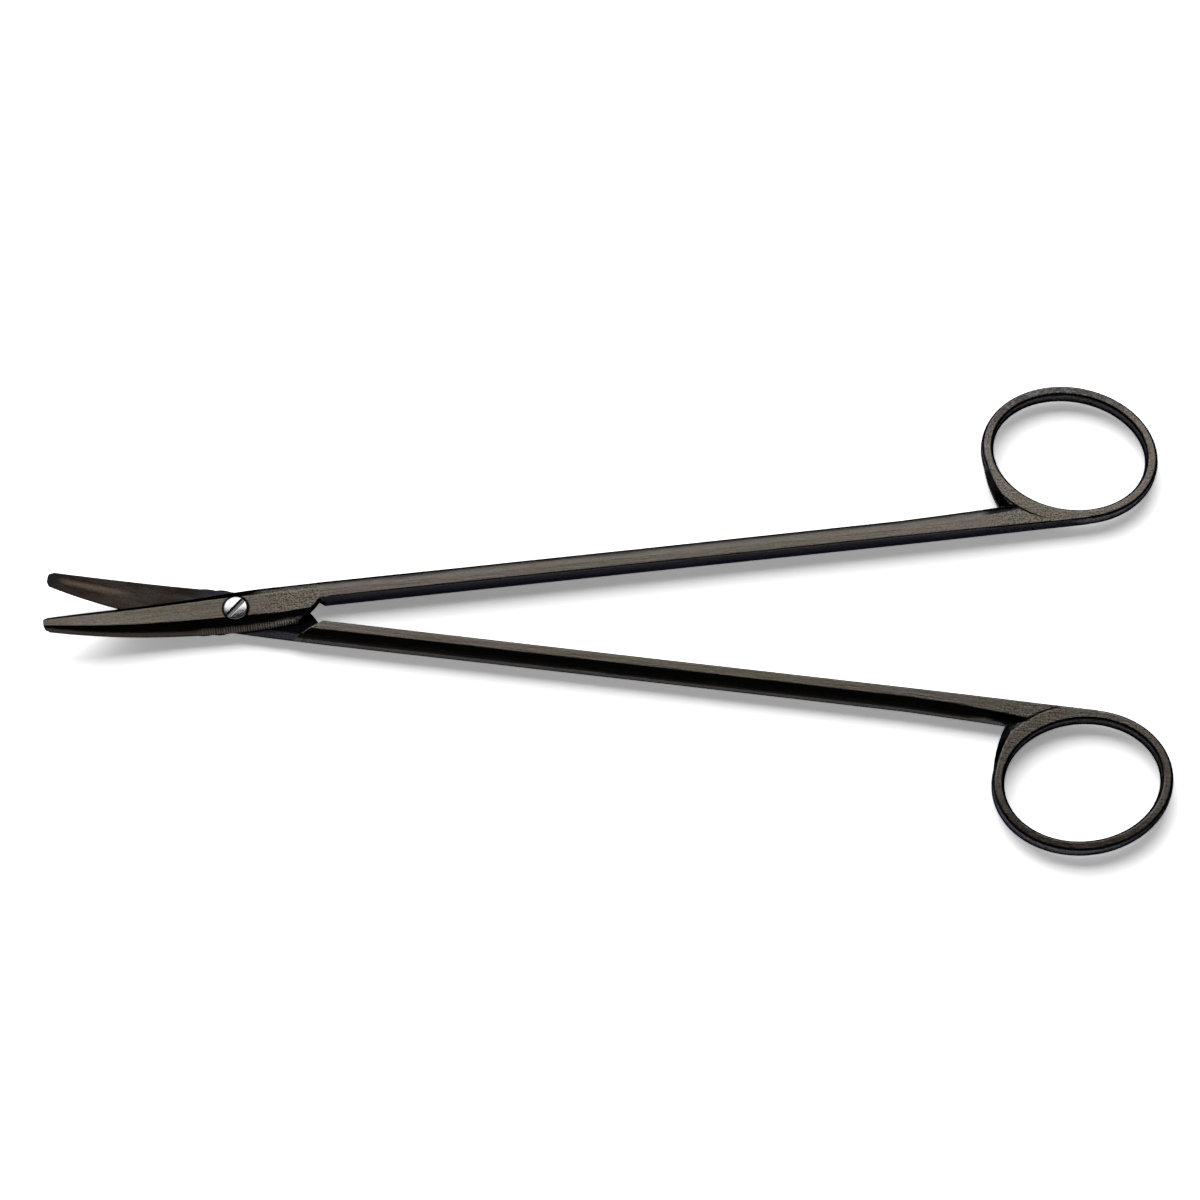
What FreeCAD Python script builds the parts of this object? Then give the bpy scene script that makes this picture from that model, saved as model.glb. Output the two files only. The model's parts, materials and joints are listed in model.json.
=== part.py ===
import FreeCAD, Part
import math
import os

# Dissecting scissors, curved, in millimetres. Each half is drawn in its own frame as if closed:
# pivot at the origin, blade towards -X, ring towards +X and +Y, lap plane at Z = 0 and the
# half's outer face at +Z. The rear half is then turned over about X.

V = FreeCAD.Vector

# length, opening and joint
LENGTH = 200.5            # closed, from the tips to the far side of the rings
OPEN_HALF = 6.73          # angle of each half from closed, in degrees, as it lies
LAP_GAP = 0.08            # between the two joint plates
TIP_GAP = 0.20            # between the two blades at the tips
HALF_THICK = 2.2          # each joint plate, and half of the shank beside it
GROUND = 0.02             # taken off the outer faces there, which leaves them flat

# blade
BLADE_LEN = 33.6
TIP_RISE = 4.85           # how far the blades curve up at the tip
FLAT_RADIUS = 4.2         # the lap faces are flat this far round the pivot
TIP_CUT_CORNER = 0.55     # corner taken off the cutting side of the tip
TIP_BACK_RADIUS = 0.75    # rounding of the tip's back corner
# share of the blade length, back edge, cutting edge, thickness, rounding of the back, width of
# the cutting bevel, angle at which the bevel leaves the outer face, angle at which it ends
BLADE = (
    (1.03, -1.72, 0.62, 1.25, 0.65, 0.85, 54, 60),
    (0.77, -2.60, 1.95, 1.65, 1.40, 1.15, 54, 60),
    (0.53, -3.18, 2.72, 1.90, 1.85, 1.30, 52, 64),
    (0.28, -3.60, 3.36, 2.12, 2.20, 1.45, 46, 70),
)
# the same for the joint plate, at a distance from the pivot towards the rings
PLATE = (
    (0.0, -3.85, 3.86, HALF_THICK - 0.03, 2.35, 1.70, 34, 82),
    (8.0, -3.42, 3.98, HALF_THICK + GROUND, 1.85, 1.95, 20, 88),
)
BACK_LEAVE = 22           # angles at which the rounded back leaves the outer face and ends
BACK_ARRIVE = 88

# joint shoulders
LAP_END = 16.5            # where the full shank begins
PLATE_END_BACK = -2.86    # back edge of the plate, carried on to that place
END_BACK_X = 10.6         # slanted end of the plate: where it meets the back edge
END_CORNER_X = 14.5       # and where its rounded corner with the shank begins
END_CORNER_ANGLE = 52.0
END_CORNER_RADIUS = 1.0
END_REACH = 1.8           # length of the straight run into that corner
SHOULDER_X = 16.1         # slanted shoulder, where it crosses the middle
SHOULDER_ANGLE = 38.1

# finger ring, an oval
RING_HALF = 1.55          # half thickness
RING_LONG = 15.94         # outer half length
RING_SHORT = 13.18        # outer half width
RING_BAND = 2.30          # width at mid-height
RING_TILT = -16.8
RING_SWELL_OUT = 0.61     # the outer wall curves out this far beyond the flat face
RING_SWELL_IN = 0.67      # the same for the inner wall
RING_WALL_STEPS = 4       # sections from mid-height to a face
RING_OVER = 0.23          # the ring stands this much proud of the shank's inner side
RING_REACH = math.hypot(
    RING_LONG * math.cos(math.radians(RING_TILT)), RING_SHORT * math.sin(math.radians(RING_TILT))
)
RING_X = LENGTH - BLADE_LEN - RING_REACH
FACE_OVER = 0.85          # the ring's faces reach this far past its outline, onto the shank
GROOVE_WIDTH = 0.35       # shallow groove round their end
GROOVE_DEPTH = 0.14
GROOVE_FULL_Y = 3.4       # from the middle line of the half: full depth out to here
GROOVE_END_Y = 1.0        # and gone here

# shank
SHANK_IN = 0.35           # inner side, from the middle
SHANK_OUT = 4.05
SHANK_ROUND = 2.05        # plan width of the rounded outer side
SHANK_EDGE = 0.20         # bevel of the two inner edges
SHANK_THIN = 2.05         # half thickness along most of the length
SHANK_LEAVE = 20          # angle at which the rounded side leaves the flat faces
NECK_OUT = 4.75           # the shank widens and thins in a neck before the ring
NECK_LEN = 23.0
NECK_TO = RING_X - 9.1
NECK_FROM = NECK_TO - NECK_LEN
NECK_ROUND = 1.2
NECK_STEP = 0.13          # the neck's end stands this much above the ring's faces
# distance from the pivot, half thickness, outer side, rounding
SHANK = (
    (PLATE[-1][0], HALF_THICK + GROUND, PLATE[-1][2], PLATE[-1][5]),
    (LAP_END, HALF_THICK + GROUND, SHANK_OUT, SHANK_ROUND),
    (RING_X / 2, SHANK_THIN, SHANK_OUT, SHANK_ROUND),
    (NECK_FROM, SHANK_THIN, SHANK_OUT + 0.1, SHANK_ROUND),
    (NECK_FROM + NECK_LEN * 0.35, SHANK_THIN - 0.08, SHANK_OUT + 0.35, SHANK_ROUND + 0.05),
    (NECK_FROM + NECK_LEN * 0.78, (SHANK_THIN + RING_HALF) / 2, NECK_OUT, SHANK_ROUND - 0.35),
    (NECK_TO, RING_HALF + NECK_STEP, NECK_OUT, NECK_ROUND),
    (RING_X + 1.6, RING_HALF + 0.01, NECK_OUT, NECK_ROUND),
)

# web in the corner between shank and ring
WEB_CORNER_X = RING_X - 14.2
WEB_RISE = 9.0            # where the web's edge runs out on the ring, above the shank
WEB_BULGE = 0.45
WEB_FACE_BULGE = 0.2      # more bulge at the faces
WEB_SLOPE = 2.0           # how far the edge draws back at the faces, at the corner
WEB_RUNOUT = 0.5          # and where it runs out
WEB_RIM = 0.45            # half height of its steep outer edge
WEB_LEVELS = ((-RING_HALF, 1.0), (-WEB_RIM, 0.1), (0, 0.0), (WEB_RIM, 0.1), (RING_HALF, 1.0))
WEB_SINK = 0.1            # the web's ends go this deep into the ring and the shank

# pivot screw
HEAD_RADIUS = 2.1
HEAD_PROUD = 0.38
HEAD_CHAMFER = 0.18
HEAD_CHAMFER_DROP = 0.14
HEAD_DOME = 0.06          # rise of its top from the chamfer to the middle
HEAD_SUNK = 0.70
SEAT_CLEAR = 0.12         # round the head
SLOT_WIDTH = 0.92
SLOT_DEPTH = 0.60
SLOT_ANGLE = 50.0         # as it lies, from +X
SHOULDER_RADIUS = 1.25
RUN_CLEAR = 0.05          # radial, plain shoulder in the front half's hole
END_GAP = 0.03            # under the head
THREAD_RADIUS = 1.05
THREAD_END_SHY = 0.10     # the end stays this much inside the rear half
THREAD_END_CHAMFER = 0.20

CUT = 12.0                # reach of the cutting tools
LAP_SIDE = LAP_GAP / 2


def polar(length, degrees):
    return (length * math.cos(math.radians(degrees)), length * math.sin(math.radians(degrees)))


def curve(start, leave, arrive, end):
    """Cubic from start to end in the YZ plane, leaving and arriving at angles below level."""
    reach = 0.55 * abs(end.y - start.y)
    drop = 0.55 * abs(end.z - start.z)
    side = 1 if end.y > start.y else -1
    down = 1 if end.z < start.z else -1
    first_y = side * reach * math.cos(math.radians(leave))
    first_z = -down * reach * math.sin(math.radians(leave))
    last_y = -side * drop * math.cos(math.radians(arrive))
    last_z = down * drop * math.sin(math.radians(arrive))
    bezier = Part.BezierCurve()
    bezier.setPoles([start, start + V(0, first_y, first_z), end + V(0, last_y, last_z), end])
    return bezier.toShape()


def blade_rise(radius):
    """Height of the curved lap face at a distance from the pivot."""
    bow = rise_radius()
    run = max(0.0, radius - FLAT_RADIUS)
    return bow - math.sqrt(bow * bow - run * run)


def rise_radius():
    run = BLADE_LEN - FLAT_RADIUS
    return (run * run + TIP_RISE * TIP_RISE) / (2 * TIP_RISE)


def plate_section(x, back, front, thick, back_round, bevel, leave, arrive, bend, foot):
    """Cross-section of the blade or joint plate; its lower edge is cut to the lap face later."""
    base = bend * blade_rise(-x)
    top = base + thick
    corners = [
        V(x, back, base - foot),
        V(x, back, base),
        V(x, back + back_round, top),
        V(x, front - bevel, top),
        V(x, front, base),
        V(x, front, base - foot),
    ]
    edges = [curve(corners[2], BACK_LEAVE, BACK_ARRIVE, corners[1])]
    edges.append(Part.makeLine(corners[2], corners[3]))
    edges.append(curve(corners[3], leave, arrive, corners[4]))
    if foot > 0:
        edges.append(Part.makeLine(corners[4], corners[5]))
        edges.append(Part.makeLine(corners[5], corners[0]))
        edges.append(Part.makeLine(corners[0], corners[1]))
    else:
        edges.append(Part.makeLine(corners[4], corners[1]))
    return Part.Wire(Part.__sortEdges__(edges))


def shank_section(x, half, out, round_width):
    """Cross-section of the shank: flat inner side, flat top and bottom, rounded outer side."""
    outer = V(x, out, 0)
    bevels = {}
    edges = []
    for side in (1, -1):
        flat_end = V(x, out - round_width, side * half)
        flat_start = V(x, SHANK_IN + SHANK_EDGE, side * half)
        bevels[side] = V(x, SHANK_IN, side * (half - SHANK_EDGE))
        edges.append(curve(flat_end, SHANK_LEAVE, 90, outer))
        edges.append(Part.makeLine(flat_end, flat_start))
        edges.append(Part.makeLine(flat_start, bevels[side]))
    edges.append(Part.makeLine(bevels[1], bevels[-1]))
    return Part.Wire(Part.__sortEdges__(edges))


def ellipse(long_axis, short_axis, z, centre_y):
    turn = math.radians(RING_TILT)
    centre = V(RING_X, centre_y, z)
    along = V(math.cos(turn), math.sin(turn), 0)
    across = V(-math.sin(turn), math.cos(turn), 0)
    shape = Part.Ellipse(centre + along * long_axis, centre + across * short_axis, centre)
    return Part.Wire(shape.toShape())


def oval(long_axis, short_axis, centre_y, swell):
    """Oval disc, or oval hole where swell is negative. Its wall is an arc from face to face."""
    wires = []
    for step in range(-RING_WALL_STEPS, RING_WALL_STEPS + 1):
        angle = math.radians(90 * step / RING_WALL_STEPS)
        fall = swell * (1 - math.cos(angle))
        z = RING_HALF * math.sin(angle)
        wires.append(ellipse(long_axis - fall, short_axis - fall, z, centre_y))
    return Part.makeLoft(wires, True, False)


def prism(points, low, high):
    wire = Part.makePolygon([V(x, y, low) for x, y in points + points[:1]])
    return Part.Face(wire).extrude(V(0, 0, high - low))


def ring_centre_y():
    turn = math.radians(RING_TILT)
    reach = math.hypot(RING_LONG * math.sin(turn), RING_SHORT * math.cos(turn))
    return SHANK_IN - RING_OVER + reach


def blade_and_plate(bend):
    wires = []
    for share, *rest in BLADE:
        wires.append(plate_section(-share * BLADE_LEN, *rest, bend, 1.2))
    for x, *rest in PLATE:
        wires.append(plate_section(x, *rest, bend, 1.2))
    blade = Part.makeLoft(wires, True, False)
    # the plate beyond the last station narrows evenly up to the full shank
    first = plate_section(*PLATE[-1], bend, 0)
    thick = HALF_THICK + GROUND
    last_sizes = (LAP_END, PLATE_END_BACK, SHANK_OUT, thick, PLATE[-1][4], SHANK_ROUND)
    last = plate_section(*last_sizes, SHANK_LEAVE, 90, bend, 0)
    plate = Part.makeLoft([first, last], True, True)
    return blade, plate


def lap_tool(bend):
    """What is cut away under the blade's inner face, which is turned about the pivot axis."""
    far = BLADE_LEN * 1.25
    bow = rise_radius()
    tilt = (TIP_GAP - LAP_GAP) / 2 / (BLADE_LEN - FLAT_RADIUS)

    def height(radius):
        run = max(0.0, radius - FLAT_RADIUS)
        return LAP_SIDE + bend * (bow - math.sqrt(bow * bow - run * run)) + tilt * run

    middle = (FLAT_RADIUS + far) / 2
    floor = -CUT
    profile = [
        Part.makeLine(V(0, 0, floor), V(0, 0, LAP_SIDE)),
        Part.makeLine(V(0, 0, LAP_SIDE), V(0, FLAT_RADIUS, LAP_SIDE)),
        Part.Arc(
            V(0, FLAT_RADIUS, LAP_SIDE), V(0, middle, height(middle)), V(0, far, height(far))
        ).toShape(),
        Part.makeLine(V(0, far, height(far)), V(0, far, floor)),
        Part.makeLine(V(0, far, floor), V(0, 0, floor)),
    ]
    face = Part.Face(Part.Wire(profile))
    return face.revolve(V(0, 0, 0), V(0, 0, 1), 180)


def shoulder_tool():
    """Everything under the lap plane on the pivot's side of the slanted shoulder."""
    run = CUT / math.tan(math.radians(SHOULDER_ANGLE))
    points = [(-CUT, -CUT), (SHOULDER_X + run, -CUT), (SHOULDER_X - run, CUT), (-CUT, CUT)]
    return prism(points, -CUT, LAP_SIDE)


def end_edge_tool():
    """Cuts the plate off along its slanted end, with a rounded corner at the shank."""
    lift = END_CORNER_RADIUS * (1 - math.cos(math.radians(END_CORNER_ANGLE)))
    start = V(END_CORNER_X, SHANK_IN - lift, 0)
    turn = polar(END_CORNER_RADIUS, 90 + END_CORNER_ANGLE)
    centre = start - V(*turn, 0)
    half_turn = polar(END_CORNER_RADIUS, 90 + END_CORNER_ANGLE / 2)
    stop = centre + V(0, END_CORNER_RADIUS, 0)
    back = V(END_BACK_X, PLATE[-1][1] + 0.1, 0)
    slope = Part.BezierCurve()
    slope.setPoles([back, start - V(*polar(END_REACH, END_CORNER_ANGLE), 0), start])
    far = LAP_END + CUT
    edges = [
        slope.toShape(),
        Part.Arc(start, centre + V(*half_turn, 0), stop).toShape(),
        Part.makeLine(stop, V(far, SHANK_IN, 0)),
        Part.makeLine(V(far, SHANK_IN, 0), V(far, -CUT, 0)),
        Part.makeLine(V(far, -CUT, 0), V(back.x, -CUT, 0)),
        Part.makeLine(V(back.x, -CUT, 0), back),
    ]
    tool = Part.Face(Part.Wire(edges)).extrude(V(0, 0, 2 * CUT))
    tool.translate(V(0, 0, -CUT))
    return tool


def tip_keep():
    """Outline of the tip: blunt end, one corner cut and the other rounded."""
    end = -BLADE_LEN
    back = BLADE[0][1]
    front = BLADE[0][2]
    round_x = end + TIP_BACK_RADIUS
    round_y = back + TIP_BACK_RADIUS
    turn = polar(TIP_BACK_RADIUS, 225)
    slant = 2 * TIP_CUT_CORNER
    edges = [
        Part.makeLine(V(CUT * 2, -CUT, 0), V(round_x, -CUT, 0)),
        Part.makeLine(V(round_x, -CUT, 0), V(round_x, back, 0)),
        Part.Arc(
            V(round_x, back, 0), V(round_x + turn[0], round_y + turn[1], 0), V(end, round_y, 0)
        ).toShape(),
        Part.makeLine(V(end, round_y, 0), V(end, front - TIP_CUT_CORNER, 0)),
        Part.makeLine(V(end, front - TIP_CUT_CORNER, 0), V(end + slant, front + slant, 0)),
        Part.makeLine(V(end + slant, front + slant, 0), V(end + slant, CUT, 0)),
        Part.makeLine(V(end + slant, CUT, 0), V(CUT * 2, CUT, 0)),
        Part.makeLine(V(CUT * 2, CUT, 0), V(CUT * 2, -CUT, 0)),
    ]
    keep = Part.Face(Part.Wire(edges)).extrude(V(0, 0, 2 * CUT))
    keep.translate(V(0, 0, -CUT))
    return keep


def ring_face_tool(centre_y, side):
    """What is above the ring's face, and the groove that ends the face on the shank."""
    face = side * RING_HALF
    floor = side * (RING_HALF - GROOVE_DEPTH)

    def oval_at(over, z):
        return ellipse(RING_LONG + over, RING_SHORT + over, z, centre_y)

    above = Part.makeLoft([oval_at(FACE_OVER, floor), oval_at(FACE_OVER, side * CUT)], True, True)
    kept = Part.makeLoft([oval_at(FACE_OVER, floor), oval_at(FACE_OVER - GROOVE_WIDTH, face)], True, True)
    fade = Part.makePolygon([
        V(0, GROOVE_FULL_Y, floor),
        V(0, GROOVE_END_Y, face),
        V(0, -CUT, face),
        V(0, -CUT, floor),
        V(0, GROOVE_FULL_Y, floor),
    ])
    return above.cut([kept, Part.Face(fade).extrude(V(LENGTH, 0, 0))])


def web(centre_y):
    """Fills the corner between shank and ring, sloping down from the ring's faces."""
    wires = []
    for z, pull in WEB_LEVELS:
        low = V(WEB_CORNER_X + WEB_SLOPE * pull, NECK_OUT - WEB_SINK, z)
        high_x = ring_side(centre_y, WEB_RISE) + WEB_SINK + WEB_RUNOUT * pull
        high = V(high_x, NECK_OUT + WEB_RISE, z)
        mid = (low + high) * 0.5 - V(WEB_BULGE + WEB_FACE_BULGE * pull, 0, 0)
        foot = V((WEB_CORNER_X + RING_X) / 2, (SHANK_IN + NECK_OUT) / 2, z)
        edges = [
            Part.Arc(low, mid, high).toShape(),
            Part.makeLine(high, foot),
            Part.makeLine(foot, low),
        ]
        wires.append(Part.Wire(edges))
    return Part.makeLoft(wires, True, True)


def ring_side(centre_y, rise):
    """X of the ring's outer wall, on its shank side, at a height above the shank."""
    turn = math.radians(RING_TILT)
    y = NECK_OUT + rise - centre_y
    c, s = math.cos(turn), math.sin(turn)
    a = (c / RING_LONG) ** 2 + (s / RING_SHORT) ** 2
    b = 2 * y * c * s * (1 / RING_LONG ** 2 - 1 / RING_SHORT ** 2)
    k = (y * s / RING_LONG) ** 2 + (y * c / RING_SHORT) ** 2 - 1
    return RING_X + (-b - math.sqrt(b * b - 4 * a * k)) / (2 * a)


def half(bend):
    blade, plate = blade_and_plate(bend)
    centre_y = ring_centre_y()
    shank = Part.makeLoft([shank_section(*station) for station in SHANK], True, True)
    upper_start = Part.makeBox(LAP_END, 2 * CUT, CUT, V(0, -CUT, 0))
    shank = shank.cut(upper_start)
    disc = oval(RING_LONG, RING_SHORT, centre_y, RING_SWELL_OUT)
    hole_long = RING_LONG - RING_BAND
    hole_short = RING_SHORT - RING_BAND
    hole = oval(hole_long, hole_short, centre_y, -RING_SWELL_IN)
    body = shank.fuse([disc, web(centre_y)])
    body = body.cut(hole)
    for side in (1, -1):
        mouth = ellipse(hole_long + RING_SWELL_IN, hole_short + RING_SWELL_IN, side * RING_HALF, centre_y)
        cap = Part.Face(mouth)
        body = body.cut(cap.extrude(V(0, 0, side * CUT)))
        body = body.cut(ring_face_tool(centre_y, side))
    plate = plate.cut(end_edge_tool())
    front = blade.common(tip_keep())
    front = front.cut(lap_tool(bend))
    front = front.cut(Part.makeBox(LAP_END, 2 * CUT, CUT + LAP_SIDE, V(0, -CUT, -CUT)))
    body = body.fuse([plate]).cut(shoulder_tool())
    body = body.fuse([front])
    for low in (HALF_THICK, -HALF_THICK - CUT):
        body = body.cut(Part.makeBox(LENGTH, 4 * CUT, CUT, V(0, -2 * CUT, low)))
    return body.removeSplitter()


def one_solid(shape):
    solids = sorted(shape.Solids, key=lambda solid: solid.Volume)
    return solids[-1]


def make_screw():
    seat = HALF_THICK - HEAD_SUNK + END_GAP
    top = HALF_THICK + HEAD_PROUD
    end = -HALF_THICK + THREAD_END_SHY
    rim = HEAD_RADIUS - HEAD_CHAMFER
    points = [
        (0, top),
        (0, end),
        (THREAD_RADIUS - THREAD_END_CHAMFER, end),
        (THREAD_RADIUS, end + THREAD_END_CHAMFER),
        (THREAD_RADIUS, -LAP_SIDE),
        (SHOULDER_RADIUS, -LAP_SIDE),
        (SHOULDER_RADIUS, seat),
        (HEAD_RADIUS, seat),
        (HEAD_RADIUS, top - HEAD_DOME - HEAD_CHAMFER_DROP),
        (rim, top - HEAD_DOME),
    ]
    sides = Part.makePolygon([V(r, 0, z) for r, z in points])
    dome = Part.Arc(V(rim, 0, top - HEAD_DOME), V(rim / 2, 0, top - HEAD_DOME / 4), V(0, 0, top))
    wire = Part.Wire(sides.Edges + [dome.toShape()])
    screw = Part.Face(wire).revolve(V(0, 0, 0), V(0, 0, 1), 360)
    slot = Part.makeBox(4 * HEAD_RADIUS, SLOT_WIDTH, CUT)
    slot.translate(V(-2 * HEAD_RADIUS, -SLOT_WIDTH / 2, top - SLOT_DEPTH))
    slot.rotate(V(0, 0, 0), V(0, 0, 1), SLOT_ANGLE)
    return screw.cut(slot)


def build():
    axis = V(0, 0, 1)
    origin = V(0, 0, 0)
    front = half(1)
    bore = Part.makeCylinder(SHOULDER_RADIUS + RUN_CLEAR, 2 * CUT, V(0, 0, -CUT))
    seat_floor = HALF_THICK - HEAD_SUNK
    seat = Part.makeCylinder(HEAD_RADIUS + SEAT_CLEAR, CUT, V(0, 0, seat_floor))
    front = one_solid(front.cut(bore).cut(seat))
    rear = half(-1)
    thread = Part.makeCylinder(THREAD_RADIUS, 2 * CUT, V(0, 0, -CUT))
    rear = one_solid(rear.cut(thread))
    rear.rotate(origin, V(1, 0, 0), 180)
    front.rotate(origin, axis, OPEN_HALF)
    rear.rotate(origin, axis, -OPEN_HALF)
    screw = one_solid(make_screw())
    nodes = {"front_half": front, "rear_half": rear, "pivot_screw": screw}
    box = Part.makeCompound([front, rear]).optimalBoundingBox(False, False)
    move = V(-(box.XMin + box.XMax) / 2, 0, HALF_THICK)
    for shape in nodes.values():
        shape.translate(move)
    return nodes


os.makedirs("parts", exist_ok=True)
for name, shape in build().items():
    shape.exportStep("parts/" + name + ".step")
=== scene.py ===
import json
import math

import bpy
from mathutils import Matrix, Vector

MM = 0.001

# the photograph's view
PHOTO_SIDE = 1200
FOCAL_PX = 4000.0
SENSOR_MM = 36.0
PX_PER_MM = 5.64              # at the pivot
PIVOT_PX = (236.9, 612.9)
AZIMUTH = 1.5
ELEVATION = 67.9
ROLL = -1.17

# how the part lies
HALF_TURN = 6.73              # degrees that each half lies turned from the part's long axis

# Places on a half, in mm from the pivot: along it (negative on the blade), outwards to its ring,
# or up. A pair is the two ends of a smooth step, except for the ring's centre and size.
RING_STARTS = (132.0, 136.0)
RING_GRAIN_STARTS = (132.0, 138.0)
SHANK_ENDS = (134.0, 130.0)
RING_OUTER_PART = (17.0, 24.0)
RING_CENTRE = (151.2, 13.6)
RING_MIDDLE = (15.2, 12.4)    # half the ring's length and width, halfway through its wall
BLADE_BACK_ENDS = (-8.0, -2.0)
INNER_BLADE_STARTS = (0.0, -2.0)
LAP_REACH = (1.2, 0.6)
TIP_BLUE = (-30.5, -33.5)
JOINT_BLUE = (-11.0, -5.0)
# painted highlight: the paler streak on the inner face lies along these places
STREAK_MIDDLE = -0.75
STREAK_WIDTH = (0.85, 0.05)
STREAK_TIP_END = (-32.5, -30.0)
STREAK_JOINT_END = (-18.0, -23.0)
INNER_FADE = (-20.0, -10.0)
# painted shade on the lap face under the other half's plate, between these places
UNDER_PLATE_SHADE_ACROSS = (3.0, 2.3)
UNDER_PLATE_SHADE_ALONG = (1.0, 3.0)
# painted shade: the walls darken towards the bottom between these heights
WALL_SHADE_HEIGHT = (-1.4, 1.9)
OUTER_SIDE = (0.3, 0.8)
PLATE_LINE_ENDS = (6.0, 2.0)
MARKS_START = (-8.0, -5.0)
MARKS_END = (12.0, 10.0)
MARKS_SIDE = (0.0, -1.0)
MARKS_SINK = (3.0, 10.0)
# painted light: the grinding marks brighten along the plate between these places
MARKS_PAINTED_LIGHT = (2.0, 10.0)
GRAIN_PAST_SCREW = (3.0, 7.0)
GRAIN_ENDS = (18.0, 14.0)
# painted shade inside the screw's seat
SEAT_SHADE_RIM = (2.38, 2.60)
SEAT_SHADE_HEIGHT = (1.2, 0.6)
# painted shade on the screw between the face of its head and its lower end
SCREW_FACE_HEIGHT = (2.30, 2.42)
SCREW_END_HEIGHT = (-0.8, -1.2)

# finish, with painted light and shade
EDGE_ROUND = 0.00028          # metres, like the next three
SCREW_EDGE_ROUND = 0.00012
COAT_BUMP = 0.00003
SCREW_BUMP = 0.00001
MARKS_PER_MM = 2.3
MARKS_SWAY = 9.0              # radians that noise shifts the marks by, at most
OLIVE = (0.073, 0.0655, 0.052)
PURPLISH = (0.079, 0.068, 0.059)
GREY = (0.073, 0.072, 0.070)
RING_DARK = (0.024, 0.020, 0.018)
RING_BRIGHT_FRONT = (0.058, 0.059, 0.064)
RING_BRIGHT_REAR = (0.053, 0.044, 0.035)
BLADE_BACK = (0.040, 0.033, 0.027)
SHANK_BACK = (0.058, 0.053, 0.047)
RING_BACK = (0.070, 0.070, 0.077)
WALL = (0.094, 0.094, 0.101)
INNER_BROWNS = (0.022, 0.016, 0.013), (0.039, 0.031, 0.025)
INNER_BLUES = (0.020, 0.020, 0.024), (0.030, 0.031, 0.037)
# painted highlight on the inner face
INNER_HIGHLIGHT = (0.105, 0.082, 0.064)
MARK_COLOURS = (0.034, 0.028, 0.026), (0.150, 0.130, 0.118)
WHITE = (1.0, 1.0, 1.0)
# painted shade and painted highlight along edges
EDGE_SHADE = (0.12, 0.12, 0.12)
EDGE_HIGHLIGHT = (1.9, 1.9, 1.9)
COAT_GLINT = (0.20, 0.205, 0.24)
SCREW_GREY = (0.42, 0.42, 0.42)

# studio
FLOOR_SIZE = 8.0
FLOOR_COLOUR = (0.80, 0.80, 0.80)
FLOOR_SEEN_COLOUR = (1.95, 1.95, 1.95)
FLOOR_MIRRORED_COLOUR = (1.15, 1.15, 1.15)
FLOOR_SEEN_GLOW = 0.25
KEY_DISTANCE = 2.0
KEY_OFF_VERTICAL = 51.0       # towards +Y
KEY_SIZE = (3.4, 2.27)
KEY_SHIFT = -0.9              # along X, so that shadows lean to the right
KEY_RADIANCE = 3.0
SKY_DARK = 0.015
SKY_PALE = 0.9
FAR_HORIZON = (0.10, 0.16)    # sine of the elevation between which the pale sky turns dark
FAR_SIDE = (0.5, 0.8)
NEAR_HORIZON = (0.22, 0.46)
NEAR_SIDE = (-0.2, -0.6)
NEAR_SHARE = 0.85
LEFT_HORIZON = (0.12, 0.35)
LEFT_SIDE = (-0.55, -0.80)


def make_camera(pivot):
    """Stands where the photograph's camera stood, with the pivot at its place in the picture."""
    a, e, r = (math.radians(v) for v in (AZIMUTH, ELEVATION, ROLL))
    back = Vector((math.sin(a) * math.cos(e), -math.cos(a) * math.cos(e), math.sin(e)))
    level = Vector((0, 0, 1)).cross(back).normalized()
    above = back.cross(level)
    right = math.cos(r) * level + math.sin(r) * above
    up = math.cos(r) * above - math.sin(r) * level
    distance = FOCAL_PX / PX_PER_MM * MM
    across = (PIVOT_PX[0] - PHOTO_SIDE / 2) / FOCAL_PX * distance
    down = (PIVOT_PX[1] - PHOTO_SIDE / 2) / FOCAL_PX * distance
    place = pivot + back * distance - right * across + up * down
    data = bpy.data.cameras.new("camera")
    data.sensor_width = SENSOR_MM
    data.lens = FOCAL_PX / PHOTO_SIDE * SENSOR_MM
    data.clip_start = 0.01
    data.clip_end = 50
    camera = bpy.data.objects.new("camera", data)
    bpy.context.scene.collection.objects.link(camera)
    turn = Matrix((right, up, back)).transposed().to_4x4()
    camera.matrix_world = Matrix.Translation(place) @ turn
    bpy.context.scene.camera = camera


def opaque(colour):
    return (*colour, 1.0)


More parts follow.
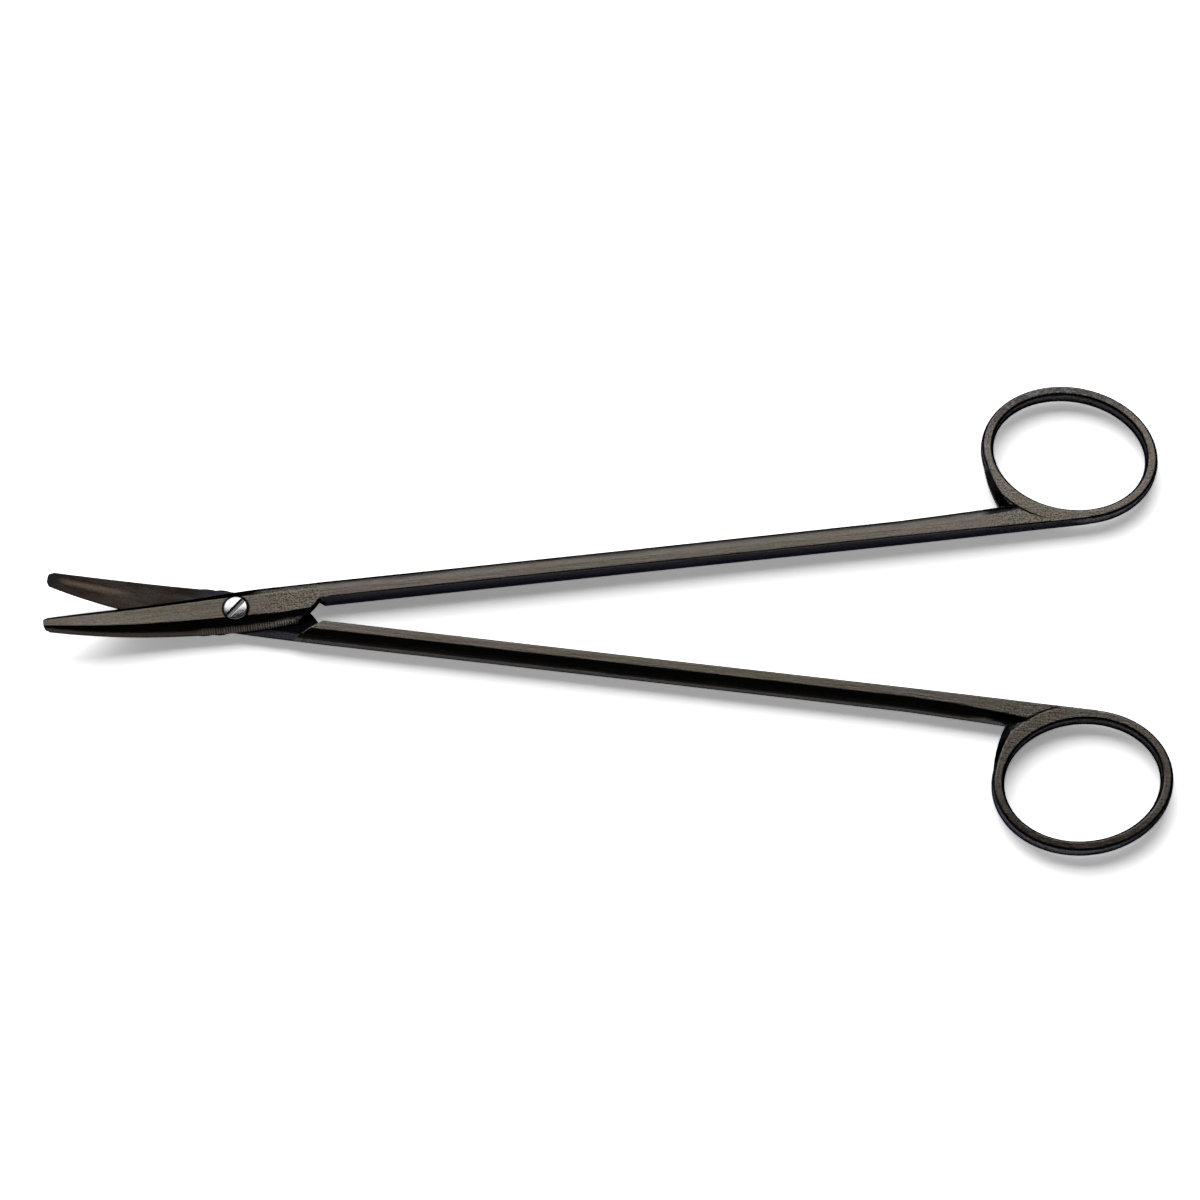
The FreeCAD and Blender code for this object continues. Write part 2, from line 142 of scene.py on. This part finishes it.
class Graph:
    """Short calls for building a material's nodes."""

    def __init__(self, material):
        material.use_nodes = True
        self.tree = material.node_tree
        self.tree.nodes.clear()

    def node(self, kind, inputs=None, **settings):
        made = self.tree.nodes.new(kind)
        for name, value in settings.items():
            setattr(made, name, value)
        for name, value in (inputs or {}).items():
            self.feed(made.inputs[name], value)
        return made

    def feed(self, socket, value):
        if isinstance(value, bpy.types.NodeSocket):
            self.tree.links.new(value, socket)
        else:
            socket.default_value = value

    def math(self, operation, a, b=0.0, clamp=False):
        made = self.node("ShaderNodeMath", {0: a, 1: b}, operation=operation, use_clamp=clamp)
        return made.outputs[0]

    def add(self, a, b, clamp=False):
        return self.math("ADD", a, b, clamp)

    def times(self, first, *others):
        for other in others:
            first = self.math("MULTIPLY", first, other)
        return first

    def most(self, a, b):
        return self.math("MAXIMUM", a, b)

    def size(self, value):
        return self.math("ABSOLUTE", value)

    def vector(self, operation, a, b=(0.0, 0.0, 0.0)):
        return self.node("ShaderNodeVectorMath", {0: a, 1: b}, operation=operation).outputs[0]

    def length(self, vector):
        made = self.node("ShaderNodeVectorMath", {0: vector}, operation="LENGTH")
        return made.outputs["Value"]

    def split(self, vector):
        return self.node("ShaderNodeSeparateXYZ", {0: vector}).outputs

    def join(self, x, y=0.0):
        return self.node("ShaderNodeCombineXYZ", {0: x, 1: y}).outputs[0]

    def ramp(self, value, low, high, out_low=0.0, out_high=1.0):
        """Smooth step from one value to another."""
        inputs = {
            "Value": value,
            "From Min": low,
            "From Max": high,
            "To Min": out_low,
            "To Max": out_high,
        }
        made = self.node("ShaderNodeMapRange", inputs, interpolation_type="SMOOTHSTEP")
        return made.outputs[0]

    def fade(self, share, none, full):
        """Value for a mask that runs from 0 to 1."""
        return self.ramp(share, 0.0, 1.0, none, full)

    def noise(self, vector, scale, detail=2.0, roughness=0.5):
        inputs = {"Vector": vector, "Scale": scale, "Detail": detail, "Roughness": roughness}
        return self.node("ShaderNodeTexNoise", inputs).outputs["Fac"]

    def mix(self, share, a, b):
        """Colour between two. Inputs 0, 6 and 7 are the share and the colours."""
        made = self.node("ShaderNodeMix", data_type="RGBA")
        self.feed(made.inputs[0], share)
        for index, value in ((6, a), (7, b)):
            self.feed(made.inputs[index], opaque(value) if isinstance(value, tuple) else value)
        return made.outputs[2]

    def tint(self, colour, factor):
        """Colour times a grey value."""
        made = self.node("ShaderNodeVectorMath", operation="SCALE")
        self.feed(made.inputs[0], colour)
        self.feed(made.inputs["Scale"], factor)
        return made.outputs[0]

    def bump(self, strength, distance, height, normal):
        inputs = {"Strength": strength, "Distance": distance, "Height": height, "Normal": normal}
        return self.node("ShaderNodeBump", inputs).outputs[0]

    def metal(self, base, roughness, normal, **more):
        inputs = {"Base Color": base, "Metallic": 1.0, "Roughness": roughness, "Normal": normal}
        inputs.update(more)
        self.output(self.node("ShaderNodeBsdfPrincipled", inputs).outputs[0])

    def output(self, shader):
        self.node("ShaderNodeOutputMaterial", {"Surface": shader})


def own_frame(g, pivot, turn=0.0):
    """Place in mm from the pivot and normal, both along and across a half that lies turned."""
    where = g.node("ShaderNodeTexCoord")
    place = g.node(
        "ShaderNodeMapping",
        {
            "Vector": where.outputs["Object"],
            "Location": pivot,
            "Rotation": (0, 0, turn),
            "Scale": (MM,) * 3,
        },
        vector_type="TEXTURE",
    ).outputs[0]
    normal = g.node(
        "ShaderNodeMapping",
        {"Vector": where.outputs["Normal"], "Rotation": (0, 0, turn)},
        vector_type="TEXTURE",
    ).outputs[0]
    return place, normal


def from_axis(g, place):
    """Distance from the pivot's axis."""
    return g.length(g.vector("MULTIPLY", place, (1, 1, 0)))


def rounded_normal(g, radius):
    """Normal that rounds off sharp edges."""
    return g.node("ShaderNodeBevel", {"Radius": radius}, samples=6).outputs[0]


def near_edge(g, rounded):
    """Mask of the narrow strips beside sharp edges."""
    true = g.node("ShaderNodeNewGeometry").outputs["True Normal"]
    turned = g.node("ShaderNodeVectorMath", {0: rounded, 1: true}, operation="DOT_PRODUCT")
    return g.ramp(turned.outputs["Value"], 0.99, 0.80)


def inner_face(g, x, z, up, side):
    """Mask of a half's lap face and of its blade's inner face."""
    looks_in = g.ramp(g.times(up, -side), 0.6, 0.8)
    lap = g.ramp(g.times(z, -side), *LAP_REACH)
    return g.times(looks_in, g.most(lap, g.ramp(x, *INNER_BLADE_STARTS)))


def inner_colour(g, place, x, outward):
    """Dark brown, bluish at the tip and at the joint, with a painted highlight as a paler streak
    along the middle, and painted shade on the lap face under the other half's plate.
    """
    blotch = g.noise(g.vector("MULTIPLY", place, (0.12, 0.5, 0.5)), 1.0, 3.0, 0.55)
    pale = g.ramp(blotch, 0.35, 0.65)
    ends = g.most(g.ramp(x, *TIP_BLUE), g.ramp(x, *JOINT_BLUE))
    ends = g.add(ends, g.ramp(blotch, 0.3, 0.7, -0.25, 0.25), clamp=True)
    # painted highlight: a paler streak along the middle of the inner face
    from_streak = g.size(g.add(outward, -STREAK_MIDDLE))
    streak = g.times(
        g.ramp(from_streak, *STREAK_WIDTH),
        g.ramp(x, *STREAK_TIP_END),
        g.ramp(x, *STREAK_JOINT_END),
    )
    brown = g.mix(streak, g.mix(pale, *INNER_BROWNS), INNER_HIGHLIGHT)
    brown = g.tint(brown, g.ramp(x, *INNER_FADE, 1.15, 0.75))
    # painted shade: the lap face under the other half's plate is darkened
    under_plate_shade = g.times(g.ramp(outward, *UNDER_PLATE_SHADE_ACROSS), g.ramp(x, *UNDER_PLATE_SHADE_ALONG))
    return g.tint(g.mix(ends, brown, g.mix(pale, *INNER_BLUES)), g.fade(under_plate_shade, 1.0, 0.08))


def flat_colour(g, place, outward, side):
    """Patches of olive, purplish brown and grey, mottled on the ring's outer part."""
    stretched = g.vector("MULTIPLY", place, (0.07, 0.22, 0.22))
    first = g.noise(stretched, 1.0, 3.0, 0.6)
    second = g.noise(g.vector("ADD", stretched, (7.3, 2.1, 0.0)), 1.4, 3.0, 0.6)
    patches = g.mix(g.ramp(first, 0.40, 0.60), OLIVE, PURPLISH)
    patches = g.mix(g.ramp(second, 0.55, 0.75), patches, GREY)
    mottle = g.ramp(g.noise(place, 1.1, 4.0, 0.7), 0.45, 0.65)
    dim = g.mix(mottle, RING_DARK, RING_BRIGHT_FRONT if side > 0 else RING_BRIGHT_REAR)
    return g.mix(g.times(g.ramp(outward, *RING_OUTER_PART), 0.85), patches, dim)


def outer_colour(g, place, x, z, outward, across, up, ring, side):
    """Flats, upright walls and the rounded backs between them, with painted shade on the walls
    towards the bottom and painted shade inside the screw's seat.
    """
    flat = g.ramp(g.size(up), 0.93, 0.985)
    wall = g.ramp(g.size(across), 0.96, 0.995)
    backs = g.mix(g.ramp(x, *BLADE_BACK_ENDS), BLADE_BACK, SHANK_BACK)
    backs = g.mix(ring, backs, RING_BACK)
    # painted shade: the upright walls are darker towards the bottom
    walls = g.tint(WALL, g.ramp(z, *WALL_SHADE_HEIGHT, 0.80, 1.30))
    outer = g.mix(flat, g.mix(wall, backs, walls), flat_colour(g, place, outward, side))
    # painted shade inside the screw's seat
    seat = g.most(g.ramp(from_axis(g, place), *SEAT_SHADE_RIM, 0.08, 1.0), g.ramp(z, *SEAT_SHADE_HEIGHT))
    return g.tint(outer, seat)


def painted_dark_lines(g, x, outward, up, ring):
    """Painted shade: dark lines beside the rings' flats, on their inner walls and along the side of
    a half that faces outwards to its ring."""
    lean = g.size(up)
    slanted = g.times(g.ramp(lean, 0.40, 0.55), g.ramp(lean, 0.96, 0.90))
    beside = g.times(slanted, ring)
    steep = g.most(g.ramp(lean, 0.80, 0.72), g.ramp(x, *PLATE_LINE_ENDS))
    on_side = g.times(g.ramp(outward, *OUTER_SIDE), g.ramp(x, *SHANK_ENDS))
    along = g.times(on_side, steep, slanted, 0.9)
    centred = g.join(
        g.math("DIVIDE", g.add(x, -RING_CENTRE[0]), RING_MIDDLE[0]),
        g.math("DIVIDE", g.add(outward, -RING_CENTRE[1]), RING_MIDDLE[1]),
    )
    inside = g.times(g.ramp(g.length(centred), 1.02, 0.98), g.ramp(lean, 0.6, 0.4), ring, 0.55)
    return g.most(inside, g.most(beside, along))


def grinding_marks(g, x, outward, across, side):
    """Colour of fine upright marks, brightened along the plate as painted light, and the mask of
    the lower back of the front plate, which bears them."""
    if side < 0:
        return MARK_COLOURS[0], 0.0
    steep = g.math("SUBTRACT", across, g.ramp(x, *MARKS_SINK, 0.0, -0.22))
    where = g.times(
        g.ramp(steep, -0.55, -0.70),
        g.ramp(x, *MARKS_START),
        g.ramp(x, *MARKS_END),
        g.ramp(outward, *MARKS_SIDE),
    )
    sway = g.times(g.noise(g.join(x), 0.9, 2.0, 0.6), MARKS_SWAY)
    wave = g.math("SINE", g.add(g.times(x, MARKS_PER_MM * 2 * math.pi), sway))
    lines = g.mix(g.ramp(wave, -0.8, 0.9), *MARK_COLOURS)
    # painted light: the marks are brightened along the plate
    return g.tint(lines, g.ramp(x, *MARKS_PAINTED_LIGHT, 1.0, 3.0)), where


def coat_tone(g, x, streaks, fine, grain, rounded):
    """Brushing, a stipple that is stronger beside the screw and on the ring, painted shade along
    the edges, and painted highlights on the edges that face the blade."""
    beside_screw = g.times(g.ramp(x, *GRAIN_PAST_SCREW), g.ramp(x, *GRAIN_ENDS))
    grainy = g.fade(g.most(g.ramp(x, *RING_GRAIN_STARTS), beside_screw), 0.22, 0.60)
    brushed = g.add(g.ramp(streaks, 0.25, 0.75, 0.84, 1.14), g.ramp(fine, 0.2, 0.8, -0.10, 0.10))
    tone = g.add(brushed, g.times(g.ramp(grain, 0.28, 0.72, -1.0, 1.0), grainy))
    # painted highlight on edges that face the blade, painted shade on the other edges
    faces_blade = g.ramp(g.split(rounded)[0], -0.12, -0.35)
    edge_light_and_shade = g.mix(faces_blade, EDGE_SHADE, EDGE_HIGHLIGHT)
    return g.times(tone, g.mix(near_edge(g, rounded), WHITE, edge_light_and_shade))


def coated_steel(name, pivot, turn, side):
    """Dark coat over brushed steel. turn is the half's angle as it lies, and side is +1 on the
    half whose ring is towards +Y and whose outer face is up, -1 on the other."""
    material = bpy.data.materials.new(name)
    g = Graph(material)
    place, normal = own_frame(g, pivot, turn)
    x, y, z = g.split(place)[:3]
    across, up = g.split(normal)[1:3]
    outward = g.times(y, side)
    ring = g.ramp(x, *RING_STARTS)
    rounded = rounded_normal(g, EDGE_ROUND)
    streaks = g.noise(g.vector("MULTIPLY", place, (0.10, 2.2, 2.2)), 1.6, 4.0, 0.62)
    fine = g.noise(g.vector("MULTIPLY", place, (0.5, 5.0, 5.0)), 1.0, 3.0, 0.6)
    grain = g.noise(place, 3.3, 2.0, 0.6)

    tone = coat_tone(g, x, streaks, fine, grain, rounded)
    # painted shade: dark lines darken the tone
    tone = g.times(tone, g.fade(painted_dark_lines(g, x, outward, up, ring), 1.0, 0.12))
    marks, marked = grinding_marks(g, x, outward, across, side)
    outer = outer_colour(g, place, x, z, outward, across, up, ring, side)
    outer = g.mix(marked, outer, marks)
    inner = inner_face(g, x, z, up, side)
    base = g.tint(g.mix(inner, outer, inner_colour(g, place, x, outward)), tone)

    rough = g.add(g.ramp(streaks, 0.2, 0.8, 0.18, 0.25), g.ramp(grain, 0.2, 0.8, -0.03, 0.03))
    rough = g.add(g.add(rough, g.times(inner, 0.22)), g.times(marked, 0.40))
    bump = g.bump(0.5, COAT_BUMP, g.add(streaks, g.times(grain, 0.8)), rounded)
    g.metal(base, rough, bump, **{"Specular Tint": opaque(COAT_GLINT)})
    return material


def polished_steel(name, pivot):
    """Bright screw steel with fine turning marks round its axis, with painted shade in the slot and
    on the shank below the face of the head, bright again at its lower end."""
    material = bpy.data.materials.new(name)
    g = Graph(material)
    place = own_frame(g, pivot)[0]
    rings = g.noise(g.join(from_axis(g, place)), 7.0, 3.0, 0.6)
    smudge = g.noise(place, 1.3, 3.0, 0.6)
    height = g.split(place)[2]
    # painted shade: darker below the face of the head, in the slot
    bright = g.most(g.ramp(height, *SCREW_FACE_HEIGHT), g.ramp(height, *SCREW_END_HEIGHT))
    tone = g.times(g.ramp(smudge, 0.3, 0.7, 0.82, 1.05), g.fade(bright, 0.22, 1.0))
    rough = g.add(g.ramp(rings, 0.2, 0.8, 0.09, 0.14), g.ramp(smudge, 0.3, 0.7, 0.0, 0.05))
    bump = g.bump(0.2, SCREW_BUMP, rings, rounded_normal(g, SCREW_EDGE_ROUND))
    g.metal(g.tint(SCREW_GREY, tone), rough, bump)
    return material


def make_floor():
    """Plain white table. The camera and what mirrors it see it a little brighter than it lights."""
    half = FLOOR_SIZE / 2
    points = [(-half, -half, 0), (half, -half, 0), (half, half, 0), (-half, half, 0)]
    mesh = bpy.data.meshes.new("floor")
    mesh.from_pydata(points, [], [(0, 1, 2, 3)])
    floor = bpy.data.objects.new("floor", mesh)
    bpy.context.scene.collection.objects.link(floor)
    material = bpy.data.materials.new("floor")
    g = Graph(material)
    path = g.node("ShaderNodeLightPath").outputs
    mirrored = g.most(path["Is Glossy Ray"], path["Is Transmission Ray"])
    shade = g.mix(mirrored, FLOOR_COLOUR, FLOOR_MIRRORED_COLOUR)
    shade = g.mix(path["Is Camera Ray"], shade, FLOOR_SEEN_COLOUR)
    glow = g.times(g.most(path["Is Camera Ray"], mirrored), FLOOR_SEEN_GLOW)
    lit = g.node("ShaderNodeBsdfDiffuse", {"Color": shade}).outputs[0]
    glowing = g.node("ShaderNodeEmission", {"Color": opaque(WHITE), "Strength": glow}).outputs[0]
    g.output(g.node("ShaderNodeAddShader", {0: lit, 1: glowing}).outputs[0])
    mesh.materials.append(material)


def make_key(target):
    """Large soft light on the far side, its long edges along X."""
    data = bpy.data.lights.new("key", "AREA")
    data.shape = "RECTANGLE"
    data.size, data.size_y = KEY_SIZE
    data.energy = KEY_RADIANCE * math.pi * KEY_SIZE[0] * KEY_SIZE[1]
    light = bpy.data.objects.new("key", data)
    bpy.context.scene.collection.objects.link(light)
    angle = math.radians(KEY_OFF_VERTICAL)
    back = Vector((0, math.sin(angle), math.cos(angle)))
    light.location = target + back * KEY_DISTANCE + Vector((KEY_SHIFT, 0, 0))
    light.rotation_mode = "QUATERNION"
    light.rotation_quaternion = (-back).to_track_quat("-Z", "Y")


def make_world():
    """Pale low on the far, near and left sides and dark overhead, like a room round a table."""
    world = bpy.data.worlds.new("world")
    bpy.context.scene.world = world
    g = Graph(world)
    x, y, z = g.split(g.node("ShaderNodeTexCoord").outputs["Generated"])[:3]
    far = g.times(g.ramp(z, *FAR_HORIZON, 1.0, 0.0), g.ramp(y, *FAR_SIDE))
    near = g.times(g.ramp(z, *NEAR_HORIZON, NEAR_SHARE, 0.0), g.ramp(y, *NEAR_SIDE))
    left = g.times(g.ramp(z, *LEFT_HORIZON, 1.0, 0.0), g.ramp(x, *LEFT_SIDE))
    shade = g.fade(g.most(left, g.most(far, near)), SKY_DARK, SKY_PALE)
    background = g.node("ShaderNodeBackground", {"Color": shade, "Strength": 1.0})
    g.node("ShaderNodeOutputWorld", {"Surface": background.outputs[0]})


def dress(frame, pivot):
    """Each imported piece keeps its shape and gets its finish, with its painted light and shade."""
    turn = math.radians(HALF_TURN)
    finishes_and_painted_light = {
        "front_half": coated_steel("coated_steel_front", pivot, turn, 1),
        "rear_half": coated_steel("coated_steel_rear", pivot, -turn, -1),
        "pivot_screw": polished_steel("screw_steel_polished", pivot),
    }
    for node, material in finishes_and_painted_light.items():
        frame["nodes"][node].data.materials.clear()
        frame["nodes"][node].data.materials.append(material)


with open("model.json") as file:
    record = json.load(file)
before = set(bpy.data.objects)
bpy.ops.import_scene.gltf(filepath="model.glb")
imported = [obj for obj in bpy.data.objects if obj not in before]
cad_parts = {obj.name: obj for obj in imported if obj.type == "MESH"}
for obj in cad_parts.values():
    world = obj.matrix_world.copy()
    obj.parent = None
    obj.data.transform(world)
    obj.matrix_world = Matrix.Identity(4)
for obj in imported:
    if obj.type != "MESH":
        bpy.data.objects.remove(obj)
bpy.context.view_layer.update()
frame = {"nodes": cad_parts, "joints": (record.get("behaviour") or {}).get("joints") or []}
pivot_place = Vector(frame["joints"][0]["pos_m"])
bpy.context.scene.view_settings.view_transform = "Standard"
make_camera(pivot_place)
make_floor()
make_world()
make_key(Vector((0, 0, 0)))
dress(frame, pivot_place)
